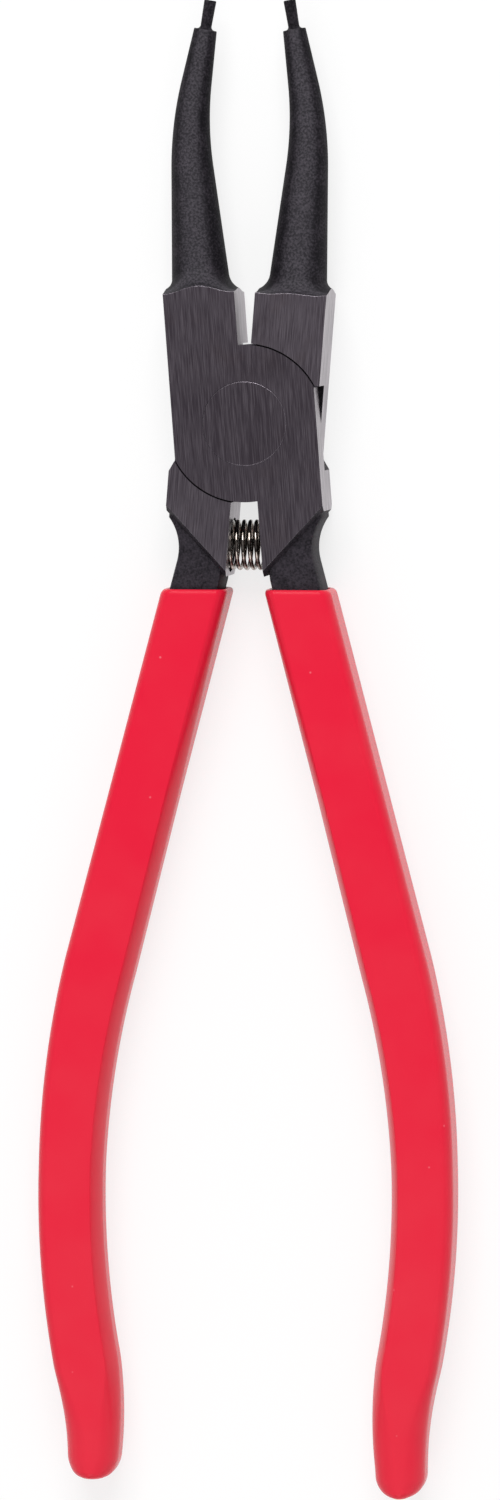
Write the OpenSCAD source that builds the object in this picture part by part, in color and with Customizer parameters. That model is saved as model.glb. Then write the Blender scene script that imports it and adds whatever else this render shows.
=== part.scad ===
// Internal circlip pliers. Two crossed forged levers turn on a flush rivet, a coil spring behind the
// joint holds the tips apart, and dipped sleeves cover the handles. Squeezing the handles closes the tips.
// The pliers lie flat: +X to the right, +Y towards the tips, +Z up, with the pivot on the Z axis and the
// back face of the joint on Z = 0. Both levers are one shape, the rear one turned over about the Y axis.
// Sizes are those of the closed pliers, with the front lever's jaw at left and its handle at right.

/* [Joint] */
// Width of the ground head with the jaws closed
head_w = 17.4; // [16.6:0.1:19]
// Thickness of the ground head
head_t = 9.6; // [9.2:0.1:10.6]
// Radius of the half-lap plate about the pivot
lap_r = 9.45; // [9.1:0.05:9.8]
// Gap along the arc between a plate and the other lever's shoulder
lap_arc_gap = 0.25; // [0.15:0.05:0.4]
// Gap between the two half-lap plates
lap_face_gap = 0.06; // [0.04:0.02:0.12]
// Distance from the pivot line at which the thin end of each shoulder is cut off
horn_cut = 5.2; // [4.6:0.1:5.8]
// Length of the slanted corner on the thin end of the handle shoulder
horn_slant = 1.2; // [1:0.1:1.6]
// Angle between the levers at rest, counted from the closed jaws
rest_angle = 8.8; // [6:0.2:12]
// Gap left between the two jaw faces when they are closed
jaw_face_gap = 0.1; // [0.1:0.05:0.4]

/* [Rivet] */
// Diameter of the rivet shank
rivet_d = 7; // [6:0.1:8]
// Diameter of the flush rivet heads
rivet_head_d = 10.2; // [9.4:0.1:11]
// Depth of the countersunk rivet heads
rivet_head_h = 1.6; // [1.2:0.1:2.2]
// Radial running clearance of the front lever on the rivet
rivet_run = 0.03; // [0.02:0.01:0.08]
// Radial clearance of the rivet in the rear lever that holds it
rivet_seat = 0.01; // [0.01:0.01:0.02]

/* [Jaws] */
// Distance from the pivot to the root of the jaw, from which its lengths are counted
jaw_root_y = 20.2; // [19.2:0.1:21.6]
// Distance below that root at which the hollow begins: inner side, front, outer side, back
hollow_below = [2, 0, 2.3, 1.8]; // [0:0.1:2.5]
// Radius of the hollow between jaw and head: inner side, front, outer side, back
hollow_r = [2.2, 4.4, 1.1, 2.8]; // [1:0.1:4.4]
// Diameter of the jaw at its root
jaw_root_d = 6.62; // [6:0.02:7]
// Diameter of the jaw at its tip shoulder
jaw_end_d = 2.76; // [2.5:0.02:3.2]
// Length of the straight part of the jaw
jaw_straight = 10.8; // [8:0.2:20]
// Radius of the bend that brings the tips together
jaw_bend_r = 42; // [34:1:50]
// Angle of that bend
jaw_bend = 14; // [12:0.5:16]
// Length of the jaw from the bend to the tip shoulder
jaw_nose = 6.6; // [5:0.2:8]

/* [Tips] */
// Diameter of the tip pins
tip_d = 1.4; // [1.2:0.1:1.6]
// Length of the tip pins from the shoulder
tip_reach = 3.55; // [3:0.05:5]
// Radius of the fillet at the foot of each pin
tip_fillet = 0.45; // [0.3:0.05:0.45]
// Chamfer on the end of each pin
tip_chamfer = 0.08; // [0.05:0.01:0.12]
// Gap between the two pins when the jaws are closed
tip_gap = 0.4; // [0.2:0.1:1]

/* [Handles] */
// Distance from the pivot at which the ground side of the handle shoulder ends
ground_end = 11.2; // [11:0.1:12.2]
// Width of the steep step from the ground face down to the tang
ground_step = 0.5; // [0.3:0.1:0.8]
// Thickness of the forged tang
tang_t = 7.8; // [7.2:0.1:8.2]
// Rounding of the tang's edges, across its width and through its thickness
tang_round = [0.4, 2.6]; // [0.4:0.1:3]
// Width of the tang at its neck
tang_w_neck = 6; // [5.4:0.1:6.4]
// Width of the tang where the bow begins
tang_w_mid = 6.7; // [6:0.1:7.4]
// Width of the tang along the lower half of the bow
tang_w_bow = 6; // [5.2:0.1:6.6]
// Width of the tang at its end
tang_w_end = 4.4; // [4.2:0.1:5.4]
// Radius of the hollow between head and tang, on the outer side
neck_r = 6.3; // [5.6:0.1:7.4]
// Distance from the pivot, on the handle's middle line, at which that hollow begins
neck_at = 12.9; // [12.5:0.1:13.4]
// Ledge by which the ground side stands proud of the tang
neck_ledge = 0.15; // [0.1:0.05:0.3]
// Angle at which each handle leaves the head
handle_splay = 10; // [8:0.2:12]
// Distance from the pivot to the start of the bow, along the tool
bow_start = 67; // [55:1:80]
// Radius of the outward bow
bow_r = 112; // [90:2:140]
// Angle through which the bow turns inwards
bow_angle = 25; // [20:0.5:28]
// Radius of the reverse curve near the end
tail_r = 50; // [40:2:70]
// Angle of the reverse curve
tail_angle = 12.5; // [8:0.5:15]
// Length of the straight end of the tang
tail_len = 1.8; // [1:0.2:8]

/* [Grips] */
// Wall of the dipped sleeve
grip_wall = 0.8; // [0.6:0.05:0.85]
// Clearance between sleeve and tang
grip_fit = 0.05; // [0.03:0.01:0.1]
// Distance from the pivot to the rim of the sleeve
grip_rim = 20.4; // [20:0.2:26]
// Thickness of the left sleeve's closed end beyond the tang
left_grip_end = 1.2; // [1.2:0.1:3]
// Thickness of the right sleeve's closed end, where the dipped coat hung lower
right_grip_end = 2.9; // [1.2:0.1:3]
// Length and depth of the rounding of the closed ends
grip_end_round = [2.6, 2.2]; // [1.2:0.1:3]
// Length below the rim over which the level rim turns square to the handle
grip_settle = 7; // [5:0.5:10]

/* [Spring] */
// Distance from the pivot to the middle of the spring seats
spring_arm = 14.85; // [14.5:0.05:15.5]
// Distance from the middle plane to each spring seat, jaws closed
seat_x = 0.88; // [0.7:0.02:1.2]
// Land left below the spring pocket
seat_lip = 0.4; // [0.3:0.05:0.8]
// Step from the spring seat back to the tang
seat_step = 0.4; // [0.2:0.05:0.5]
// Depth of the spring pocket
pocket_depth = 2.2; // [1.8:0.1:2.6]
// Radial clearance of the spring in its pocket
pocket_clear = 0.2; // [0.15:0.05:0.3]
// Wire diameter of the spring
wire_d = 0.5; // [0.4:0.02:0.54]
// Outer diameter of the spring
spring_d = 6.2; // [5.4:0.1:6.4]
// Number of turns, with one closed turn at each end
spring_turns = 10.5; // [8.5:1:10.5]
// Gap between the spring ends and the pocket floors, and between the closed turns
spring_gap = 0.04; // [0.02:0.01:0.06]

/* [Hidden] */
$fn = 64;

// How far cutting shapes run past what they cut, and joined shapes reach into each other
over = 1;
// Radius to which the hollow's foot runs out, past the corners of the head
hollow_reach = 8;
// Smallest corner rounding of a section
corner_min = 0.3;
// Points round the jaw, round each corner of the tang and the sleeve, and round the spring wire
jaw_sides = 28;
corner_points = 6;
wire_sides = 8;
// Rings per turn of the spring, and steps along each bend and each rounded edge
turn_rings = 14;
jaw_bend_steps = 7;
neck_steps = 6;
bow_steps = 11;
tail_steps = 5;
round_steps = 4;
hollow_steps = 6;
// Turns at each end of the spring that lie closed
closed_turns = 1;

head_x = head_w / 2;
face_z = head_t / 2;
lap_z = lap_face_gap / 2;
jaw_face_x = -jaw_face_gap / 2;
pocket_d = spring_d + 2 * pocket_clear;
seat_end = spring_arm + pocket_d / 2 + seat_lip;

// The jaw stands so far from the middle plane that its bend leaves the gap between the pins
jaw_x = tip_gap / 2 + tip_d / 2 * cos(jaw_bend) + (jaw_nose + tip_reach) * sin(jaw_bend)
    + jaw_bend_r * (1 - cos(jaw_bend));
jaw_bend_len = jaw_bend_r * jaw_bend * PI / 180;
jaw_len = jaw_straight + jaw_bend_len + jaw_nose;
head_top = jaw_root_y - max(hollow_below + hollow_r) - lap_arc_gap;

// The tang's middle line starts inside the head and passes the foot of the spring seat
tang_top = lap_r + lap_arc_gap + over;
tang_x_seat = seat_x + seat_step + tang_w_neck / 2 / cos(handle_splay);
tang_x_top = tang_x_seat - (seat_end - tang_top) * tan(handle_splay);
tang_straight = (bow_start - tang_top) / cos(handle_splay);
bow_len = bow_r * bow_angle * PI / 180;
tail_bend_len = tail_r * tail_angle * PI / 180;
tang_len = tang_straight + bow_len + tail_bend_len + tail_len;
rim_at = (grip_rim - tang_top) / cos(handle_splay);
rim_tilt = handle_splay + rest_angle / 2;
rim_round = grip_wall / 2;

// A path is a start pose [x, y, heading from +Y towards +X] and runs [length, turn] laid end to end
jaw_start = [-jaw_x, jaw_root_y, 0];
jaw_runs = [[jaw_straight, 0], [jaw_bend_len, jaw_bend], [jaw_nose, 0]];
tang_start = [tang_x_top, -tang_top, 180 - handle_splay];
tang_runs = [
    [tang_straight, 0],
    [bow_len, bow_angle],
    [tail_bend_len, -tail_angle],
    [tail_len, 0]
];

// Pose after a stretch s of one run
function along(pose, run, s) =
    let (a = pose[2], turn = run[1] * s / run[0], r = run[0] * 180 / PI / run[1])
    run[1] == 0
        ? [pose[0] + s * sin(a), pose[1] + s * cos(a), a]
        : [pose[0] + r * (cos(a) - cos(a + turn)), pose[1] + r * (sin(a + turn) - sin(a)), a + turn];

// Pose at length s of a whole path, straight on beyond its end
function pose_at(pose, runs, s, i = 0) =
    i == len(runs) - 1 || s <= runs[i][0]
        ? along(pose, runs[i], s)
        : pose_at(along(pose, runs[i], runs[i][0]), runs, s - runs[i][0], i + 1);

function jaw_pose(s) = pose_at(jaw_start, jaw_runs, s);
function tang_pose(s) = pose_at(tang_start, tang_runs, s);

// Evenly spaced lengths from a to b, without the last
function steps(a, b, count) = [for (i = [0:count - 1]) a + (b - a) * i / count];

// A flat section set square to a path; slant slides its points along the path to level a rim
function ring(pose, section, slant = 0) = [
    for (p = section)
        let (slide = -p[0] * slant)
        [
            pose[0] + p[0] * cos(pose[2]) + slide * sin(pose[2]),
            pose[1] - p[0] * sin(pose[2]) + slide * cos(pose[2]),
            p[1]
        ]
];

// Rectangle from u0 to u1 and from -z to z, its corners rounded by r[0] across and r[1] along z
function round_box(u0, u1, z, r) = [
    for (corner = [0:3], k = [0:corner_points - 1])
        let (
            a = 90 * (corner + k / (corner_points - 1)),
            u = corner == 0 || corner == 3 ? u1 - r[0] : u0 + r[0],
            w = corner < 2 ? z - r[1] : r[1] - z
        )
        [u + r[0] * cos(a), w + r[1] * sin(a)]
];

function disc(r, sides) = [for (k = [0:sides - 1]) r * [cos(360 * k / sides), sin(360 * k / sides)]];

// Jaw radius at length s from the root, tapering evenly to the tip shoulder
function jaw_r(s) = (jaw_root_d + (jaw_end_d - jaw_root_d) * s / jaw_len) / 2;

// Value in a direction round the jaw, blended from those at the inner side, front, outer side and back
function toward(values, a) =
    pow(cos(a), 2) * values[cos(a) > 0 ? 0 : 2] + pow(sin(a), 2) * values[sin(a) > 0 ? 1 : 3];

// Ring of the hollow round the jaw's root, where it has turned outwards by an angle, run out to a radius
function hollow_ring(turn, least = 0) = [
    for (k = [0:jaw_sides - 1])
        let (
            a = 360 * k / jaw_sides,
            below = toward(hollow_below, a),
            fillet = toward(hollow_r, a),
            r = max(least, jaw_r(-below) + fillet * (1 - cos(turn)))
        )
        [r * cos(a) - jaw_x, jaw_root_y - below - fillet * sin(turn), r * sin(a)]
];

// Half the tang's width at length s
function tang_half(s) = lookup(s, [
    [0, tang_w_neck],
    [tang_straight, tang_w_mid],
    [tang_straight + bow_len / 2, tang_w_bow],
    [tang_straight + bow_len, tang_w_bow],
    [tang_len, tang_w_end]
]) / 2;

// How far the ledge below the ground side lies outside the tang
function side_out(s) = (head_x - neck_ledge - tang_pose(s)[0]) / cos(handle_splay) - tang_half(s);

// Lengths along the tang between which the hollow at the neck falls from the ledge to the tang
neck_from = (neck_at - tang_top) / cos(handle_splay);
neck_end = neck_from + sqrt(side_out(neck_from) * (2 * neck_r - side_out(neck_from)));

// The hollow spreads the outer side, and the inner side stays behind the spring seat
function neck_out(s) =
    s <= neck_from ? side_out(s)
        : s >= neck_end ? 0
        : neck_r - sqrt(neck_r * neck_r - pow(neck_end - s, 2));
function tang_inner(s) =
    min(tang_half(s), (tang_pose(s)[0] - seat_x - seat_step) / cos(handle_splay));

// Tang section at length s, grown by a skin on every side
function tang_section(s, skin = 0) =
    let (
        bowed = s > tang_straight,
        outer = tang_half(s) + (bowed ? 0 : neck_out(s)),
        inner = bowed ? tang_half(s) : tang_inner(s),
        corner = [for (r = tang_round) max(r + skin, corner_min)]
    )
    round_box(-outer - skin, inner + skin, tang_t / 2 + skin, corner);

// Lengths along the tang at which its shape bends
bend_stations = concat(
    steps(tang_straight, tang_straight + bow_len, bow_steps),
    steps(tang_straight + bow_len, tang_len - tail_len, tail_steps),
    [tang_len - tail_len]
);

// Level of the rim, fading out down the sleeve
function rim_slant(s) =
    let (t = min(1, max(0, (s - rim_at) / grip_settle)))
    tan(rim_tilt) * (1 - t * t * (3 - 2 * t));

// Sleeve ring at length s with its surface a skin away from the tang
function grip_ring(s, skin) =
    ring(tang_pose(s), tang_section(min(s, tang_len), skin), rim_slant(s));

// Solid skinned over rings of equal count, each met by the next, with flat ends
module skin_rings(rings) {
    sides = len(rings[0]);
    last = len(rings) - 1;
    walls = [
        for (i = [0:last - 1], j = [0:sides - 1])
            let (
                a = i * sides + j,
                b = i * sides + (j + 1) % sides
            )
            each [[a, b, b + sides], [a, b + sides, a + sides]]
    ];
    start_cap = [for (j = [sides - 1:-1:0]) j];
    end_cap = [for (j = [0:sides - 1]) last * sides + j];
    polyhedron(points = [for (r = rings) each r], faces = concat([start_cap], walls, [end_cap]));
}

// Outline of the handle shoulder, from its slanted upper corner to the slanted end of the ground face
module handle_outline(top) {
    polygon([
        [seat_x, -top],
        [head_x - horn_slant / 2, -top],
        [head_x, -top - horn_slant],
        [head_x, -ground_end],
        [seat_x, -seat_end]
    ]);
}

// Front half of the head: the half-lap plate with both shoulders
module front_outline() {
    intersection() {
        circle(lap_r);
        square([head_w, 2 * lap_r], center = true);
    }
    translate([-head_x, 0]) square([head_x + jaw_face_x, head_top]);
    handle_outline(0);
}

// Back half of the head: the shoulders alone, hollowed round the other lever's plate
module back_outline() {
    difference() {
        union() {
            translate([-head_x, horn_cut]) square([head_x + jaw_face_x, head_top - horn_cut]);
            handle_outline(horn_cut);
        }
        circle(lap_r + lap_arc_gap);
    }
}

// What the step beside the tang takes off one face of the handle shoulder
module step_cut() {
    run = head_w + seat_end;
    slope = atan2(seat_end - ground_end, head_x - seat_x);
    fall = atan2(face_z - tang_t / 2, ground_step);
    translate([seat_x, ground_step / cos(slope) - seat_end, face_z])
        rotate(slope)
            rotate([fall, 0, 0])
                translate([-run / 2, -run, 0]) cube([2 * run, run, run]);
}

// Ground head of a lever, its plate in the upper half
module head() {
    difference() {
        union() {
            translate([0, 0, lap_z]) linear_extrude(face_z - lap_z) front_outline();
            translate([0, 0, -face_z]) linear_extrude(face_z + lap_z) back_outline();
        }
        step_cut();
        mirror([0, 0, 1]) step_cut();
    }
}

// Round jaw that grows out of the head in a hollow cut to the head's sides
module jaw() {
    bend_end = jaw_straight + jaw_bend_len;
    stations = concat([over], steps(jaw_straight, bend_end, jaw_bend_steps), [bend_end, jaw_len]);
    sunk = head_top - over - jaw_root_y;
    intersection() {
        skin_rings(concat(
            [ring(jaw_pose(sunk), disc(hollow_reach, jaw_sides)), hollow_ring(90, hollow_reach)],
            [for (i = [0:hollow_steps]) hollow_ring(90 * (1 - i / hollow_steps))],
            [for (s = stations) ring(jaw_pose(s), disc(jaw_r(s), jaw_sides))]
        ));
        translate([-head_x, head_top - over, -face_z])
            cube([head_x + jaw_face_x, jaw_root_y + jaw_len, head_t]);
    }
}

// Turned tip pin with its foot fillet, standing on the jaw's shoulder
module tip() {
    shoulder = jaw_pose(jaw_len);
    tip_r = tip_d / 2;
    foot = [
        for (i = [0:round_steps])
            let (a = 90 * i / round_steps)
            [tip_r + tip_fillet * (1 - sin(a)), tip_fillet * (1 - cos(a))]
    ];
    translate([shoulder[0], shoulder[1], 0])
        rotate(-shoulder[2])
            rotate([-90, 0, 0])
                rotate_extrude()
                    polygon(concat(
                        [[0, -over], [tip_r + tip_fillet, -over]],
                        foot,
                        [
                            [tip_r, tip_reach - tip_chamfer],
                            [tip_r - tip_chamfer, tip_reach],
                            [0, tip_reach]
                        ]
                    ));
}

// Forged handle under the sleeve, from inside the head to its end
module tang() {
    neck = concat([0], steps(neck_from, neck_end, neck_steps), [neck_end]);
    stations = concat(neck, bend_stations, [tang_len]);
    skin_rings([for (s = stations) ring(tang_pose(s), tang_section(s))]);
}

// Blind pocket that holds one end of the spring
module spring_pocket() {
    translate([seat_x + pocket_depth, -spring_arm, 0])
        rotate([0, -90, 0]) cylinder(h = pocket_depth + over, d = pocket_d);
}

// Shank and countersunk heads, grown by a gap and run past the faces by an extra length
module rivet_shape(gap, extra) {
    shank = rivet_d / 2 + gap;
    flush = rivet_head_d / 2 + gap;
    rotate_extrude()
        polygon([
            [0, -face_z - extra],
            [flush, -face_z - extra],
            [flush, -face_z],
            [shank, rivet_head_h - face_z],
            [shank, face_z - rivet_head_h],
            [flush, face_z],
            [flush, face_z + extra],
            [0, face_z + extra]
        ]);
}

// One lever, closed pose, middle plane on Z = 0
module lever(gap) {
    difference() {
        union() {
            head();
            jaw();
            tip();
            tang();
        }
        rivet_shape(gap, over);
        spring_pocket();
    }
}

// One sleeve: the cavity from its floor up to the rim, over the rim and down the outside
module grip(grip_end) {
    skin = grip_fit + grip_wall;
    end_at = tang_len + grip_fit + grip_end;
    settle = steps(rim_at + rim_round, rim_at + grip_settle, round_steps);
    cavity = concat([tang_len + grip_fit], [for (i = [len(bend_stations) - 1:-1:0]) bend_stations[i]]);
    skin_rings(concat(
        [for (s = cavity) grip_ring(s, grip_fit)],
        [for (i = [round_steps - 1:-1:1]) grip_ring(settle[i], grip_fit)],
        [grip_ring(rim_at, grip_fit)],
        [
            for (i = [0:round_steps - 1])
                let (a = 90 * i / round_steps)
                grip_ring(rim_at + rim_round * (1 - cos(a)), skin - rim_round * (1 - sin(a)))
        ],
        [for (s = concat(settle, [rim_at + grip_settle], bend_stations)) grip_ring(s, skin)],
        [
            for (i = [0:round_steps])
                let (a = 90 * i / (round_steps + 1))
                grip_ring(end_at - grip_end_round[0] * (1 - sin(a)), skin - grip_end_round[1] * (1 - cos(a)))
        ],
        [grip_ring(end_at, skin - grip_end_round[1])]
    ));
}

// Sets a closed lever-side shape at rest: front side as drawn, rear side turned over
module front_side() {
    translate([0, 0, face_z]) rotate(rest_angle / 2) children();
}

module rear_side() {
    translate([0, 0, face_z]) rotate(-rest_angle / 2) rotate([0, 180, 0]) children();
}

module front_lever() {
    color("dimgray") front_side() lever(rivet_run);
}

module rear_lever() {
    color("dimgray") rear_side() lever(rivet_seat);
}

module pivot_rivet() {
    color("slategray") translate([0, 0, face_z]) rivet_shape(0, 0);
}

// Coil on an arc that leaves both pocket floors squarely
module return_spring() {
    lean = rest_angle / 2;
    floor_x = seat_x + pocket_depth;
    end_x = floor_x * cos(lean) + spring_arm * sin(lean);
    end_y = floor_x * sin(lean) - spring_arm * cos(lean);
    arc_r = end_x / sin(lean);
    arc_len = 2 * arc_r * lean * PI / 180;
    first = spring_gap + wire_d / 2;
    closed = (wire_d + spring_gap) * closed_turns;
    ramp = [
        [0, first],
        [closed_turns, first + closed],
        [spring_turns - closed_turns, arc_len - first - closed],
        [spring_turns, arc_len - first]
    ];
    coil_r = (spring_d - wire_d) / 2;
    color("gray")
        translate([0, end_y + arc_r * cos(lean), face_z])
            skin_rings([
                for (i = [0:spring_turns * turn_rings])
                    let (
                        turn = i / turn_rings,
                        place = 2 * lean * lookup(turn, ramp) / arc_len - lean,
                        down = [sin(place), -cos(place), 0],
                        axis = [cos(place), sin(place), 0],
                        out = cos(360 * turn) * down - [0, 0, sin(360 * turn)]
                    )
                    [for (p = disc(wire_d / 2, wire_sides)) arc_r * down + (coil_r + p[0]) * out + p[1] * axis]
            ]);
}

module left_grip() {
    color("crimson") rear_side() grip(left_grip_end);
}

module right_grip() {
    color("crimson") front_side() grip(right_grip_end);
}

front_lever();
rear_lever();
pivot_rivet();
return_spring();
left_grip();
right_grip();
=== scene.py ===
"""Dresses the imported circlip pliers: forged levers, flush rivet, coil spring and dipped sleeves.

Every piece is drawn in millimetres with the jaws closed and the middle plane of the joint on Z = 0, as on
a maker's drawing. It is then turned to the rest pose and set into the frame's metres. The front lever has
its jaw at left and its handle at right. The rear lever is the same forging turned over about the Y axis.
"""
import logging
from collections.abc import Callable, Iterable, Sequence
from dataclasses import dataclass, field
from enum import Enum
from functools import partial
from math import acos, asin, atan2, copysign, cos, pi, radians, sin, sqrt, tan
from typing import NamedTuple

import bmesh
import bpy
from bpy.types import ID, Material, Node, NodeSocket, NodeTree, Object
from mathutils import Matrix, Vector


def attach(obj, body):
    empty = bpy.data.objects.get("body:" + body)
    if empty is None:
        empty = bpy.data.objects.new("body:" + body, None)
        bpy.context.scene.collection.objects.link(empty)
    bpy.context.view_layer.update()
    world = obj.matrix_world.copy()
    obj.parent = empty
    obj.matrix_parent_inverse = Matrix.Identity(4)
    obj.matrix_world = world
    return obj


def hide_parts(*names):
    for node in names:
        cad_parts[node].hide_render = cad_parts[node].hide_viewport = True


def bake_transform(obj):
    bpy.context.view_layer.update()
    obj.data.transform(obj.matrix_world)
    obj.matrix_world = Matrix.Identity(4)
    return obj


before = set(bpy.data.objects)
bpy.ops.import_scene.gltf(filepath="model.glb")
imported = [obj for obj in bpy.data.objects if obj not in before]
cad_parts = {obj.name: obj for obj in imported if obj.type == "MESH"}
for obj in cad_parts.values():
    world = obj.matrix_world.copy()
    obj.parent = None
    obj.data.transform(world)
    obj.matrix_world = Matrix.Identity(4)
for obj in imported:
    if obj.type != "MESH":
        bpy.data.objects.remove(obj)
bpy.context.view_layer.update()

log = logging.getLogger("pliers")

MM = 0.001
# Angle between the levers at rest, counted from the closed jaws, and half the thickness of the joint
REST_ANGLE = radians(8.8)
FACE_Z = 4.8
# Name of the point attribute that keeps each point's place on the closed drawing, in millimetres
DRAWN = "drawn"
# How far cutting shapes run past what they cut
OVER = 1.0
# Blender's names for the kinds of node that come most, and settings that go with them
NOISE, RANGE, MATH, MIX = "ShaderNodeTexNoise", "ShaderNodeMapRange", "ShaderNodeMath", "ShaderNodeMix"
SOFTLY = {"interpolation_type": "SMOOTHSTEP"}
TINTS = {"out": "Result", "data_type": "RGBA"}

Point = tuple[float, float]
Colour = tuple[float, float, float, float]
# Limits of a map range node: what goes in at its two ends, then what comes out there
Limits = tuple[float, float, float, float]
# Inputs of a node by name, each a socket to link or a value, and a function that adds a node to a tree
Inputs = dict[str, object]
Adder = Callable[..., NodeSocket]


class Side(Enum):
    """The two halves of the pliers, named by the lever whose plate they carry."""

    FRONT = "front_half"
    REAR = "rear_half"

    def placement(self) -> Matrix:
        """Returns the move from the closed drawing in millimetres to the rest pose in metres."""
        lift = Matrix.Scale(MM, 4) @ Matrix.Translation((0, 0, FACE_Z))
        if self is Side.FRONT:
            return lift @ Matrix.Rotation(REST_ANGLE / 2, 4, "Z")
        return lift @ Matrix.Rotation(-REST_ANGLE / 2, 4, "Z") @ Matrix.Rotation(pi, 4, "Y")


class Joining(Enum):
    """Ways in which a second solid changes a first one."""

    ADD = "UNION"
    CUT = "DIFFERENCE"
    TRIM = "INTERSECT"


class Skin(Enum):
    """Surfaces of a lever, in the order of its material slots."""

    FORGED = 0
    GROUND_FACE = 1
    GROUND_SIDE = 2
    LAP_WALL = 3


# Shapes


@dataclass(frozen=True)
class Pose:
    """A place on a path, with a heading in radians from +Y towards +X."""

    x: float
    y: float
    heading: float

    def ahead(self, length: float, turn: float) -> "Pose":
        """Returns the pose after an even bend.

        Args:
            length: Distance along the path.
            turn: Change of heading over that distance, in radians.
        """
        start = self.heading
        if turn == 0:
            return Pose(self.x + length * sin(start), self.y + length * cos(start), start)
        radius, end = length / turn, start + turn
        return Pose(self.x + radius * (cos(start) - cos(end)), self.y + radius * (sin(end) - sin(start)), end)


@dataclass(frozen=True)
class Path:
    """Runs of (length, turn) laid end to end from a start pose."""

    start: Pose
    runs: tuple[tuple[float, float], ...]

    @property
    def length(self) -> float:
        """Length of the whole path."""
        return sum(run[0] for run in self.runs)

    def at(self, s: float) -> Pose:
        """Returns the pose at length s, straight on beyond both ends."""
        pose = self.start
        for length, turn in self.runs:
            if s <= length:
                return pose.ahead(s, turn * s / length if s > 0 else 0)
            pose = pose.ahead(length, turn)
            s -= length
        return pose.ahead(s, 0)


class Edge(NamedTuple):
    """Rounding along one side of a section, in millimetres across and in height.

    A power of 2 gives an elliptic corner and a lower one a flatter flank with a crisp crease at either end.
    """

    across: float
    height: float
    power: float = 2.0

    def towards(self, other: "Edge", share: float) -> "Edge":
        """Returns the rounding at a share of the way to another one."""
        return Edge(*(a + (b - a) * share for a, b in zip(self, other)))


class Edges(NamedTuple):
    """Rounding of a handle on its inner and outer side, and the one that both turn to at its end."""

    inner: Edge
    outer: Edge
    end: Edge

    def towards(self, other: "Edges", share: float) -> "Edges":
        """Returns the rounding at a share of the way to another handle's."""
        return Edges(*(a.towards(b, share) for a, b in zip(self, other)))


def held(t: float) -> float:
    """Returns a share held between 0 and 1."""
    return min(1.0, max(0.0, t))


def eased(t: float) -> float:
    """Returns a share held between 0 and 1, with a soft start and end."""
    t = held(t)
    return t * t * (3 - 2 * t)


def spread(a: float, b: float, count: int) -> list[float]:
    """Returns count + 1 evenly spaced values from a to b."""
    return [a + (b - a) * i / count for i in range(count + 1)]


def arc(radius: float, start: float, end: float, steps: int) -> list[Point]:
    """Returns points on a circle about the pivot, from angle start to angle end in radians."""
    return [(radius * cos(a), radius * sin(a)) for a in spread(start, end, steps)]


def disc(radius: float, sides: int) -> list[Point]:
    """Returns the points of a round section."""
    return [(radius * cos(2 * pi * k / sides), radius * sin(2 * pi * k / sides)) for k in range(sides)]


def round_box(low: float, high: float, half: float, edges: Sequence[Edge], points: int) -> list[Point]:
    """Returns a rectangle with rounded corners.

    Args:
        low: Lower end across.
        high: Upper end across.
        half: Half the height.
        edges: Rounding at the high end and at the low end.
        points: Steps round each corner.
    """
    centres = [(high, half), (low, half), (low, -half), (high, -half)]
    inward = [(-1, -1), (1, -1), (1, 1), (-1, 1)]
    outline = []
    for quarter, ((u, w), (du, dw)) in enumerate(zip(centres, inward)):
        edge = edges[0 if du < 0 else 1]
        wide, tall = min(edge.across, (high - low) / 2), min(edge.height, half)
        for k in range(points + 1):
            a = pi / 2 * (quarter + k / points)
            across, up = (copysign(abs(part) ** (2 / edge.power), part) for part in (cos(a), sin(a)))
            outline.append((u + wide * (du + across), w + tall * (dw + up)))
    return outline


def ring(pose: Pose, section: Iterable[Point], slant: float = 0.0) -> list[Vector]:
    """Sets a flat section square to a path.

    Args:
        pose: Place on the path.
        section: Points (across, height) of the section.
        slant: How far a point slides back along the path for each unit across it, to level a rim.

    Returns:
        The points in the drawing.
    """
    ahead = Vector((sin(pose.heading), cos(pose.heading), 0))
    across = Vector((cos(pose.heading), -sin(pose.heading), 0))
    return [Vector((pose.x, pose.y, w)) + across * u - ahead * (u * slant) for u, w in section]


def add_object(name: str, data: ID | None) -> Object:
    """Returns a new object of the scene that shows a mesh, lamp or camera."""
    thing = bpy.data.objects.new(name, data)
    bpy.context.collection.objects.link(thing)
    return thing


def solid(name: str, rings: Sequence[Sequence[Vector]]) -> Object:
    """Skins rings of equal count, each met by the next, and closes both ends.

    Args:
        name: Name of the object.
        rings: The rings in order.

    Returns:
        A closed object with outward faces.
    """
    shape = bmesh.new()
    rows = [[shape.verts.new(point) for point in points] for points in rings]
    for row, following in zip(rows, rows[1:]):
        for j in range(len(row)):
            k = (j + 1) % len(row)
            shape.faces.new((row[j], row[k], following[k], following[j]))
    shape.faces.new(rows[0][::-1])
    shape.faces.new(rows[-1])
    bmesh.ops.recalc_face_normals(shape, faces=shape.faces)
    mesh = bpy.data.meshes.new(name)
    shape.to_mesh(mesh)
    shape.free()
    return add_object(name, mesh)


def prism(name: str, outline: Sequence[Point], low: float, high: float) -> Object:
    """Returns an outline drawn up from height low to height high."""
    return solid(name, [[Vector((x, y, z)) for x, y in outline] for z in (low, high)])


def turned(name: str, profile: Sequence[Point], place: Matrix, sides: int) -> Object:
    """Returns a profile of (radius, height) points turned about the Z axis of a place."""
    return solid(name, [[place @ Vector((*p, height)) for p in disc(r, sides)] for r, height in profile])


def settle(thing: Object) -> None:
    """Makes what an object's modifiers show its plain mesh and takes the modifiers off."""
    old = thing.data
    graph = bpy.context.evaluated_depsgraph_get()
    thing.data = bpy.data.meshes.new_from_object(thing.evaluated_get(graph))
    thing.modifiers.clear()
    thing.data.name = old.name
    bpy.data.meshes.remove(old)


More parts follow.
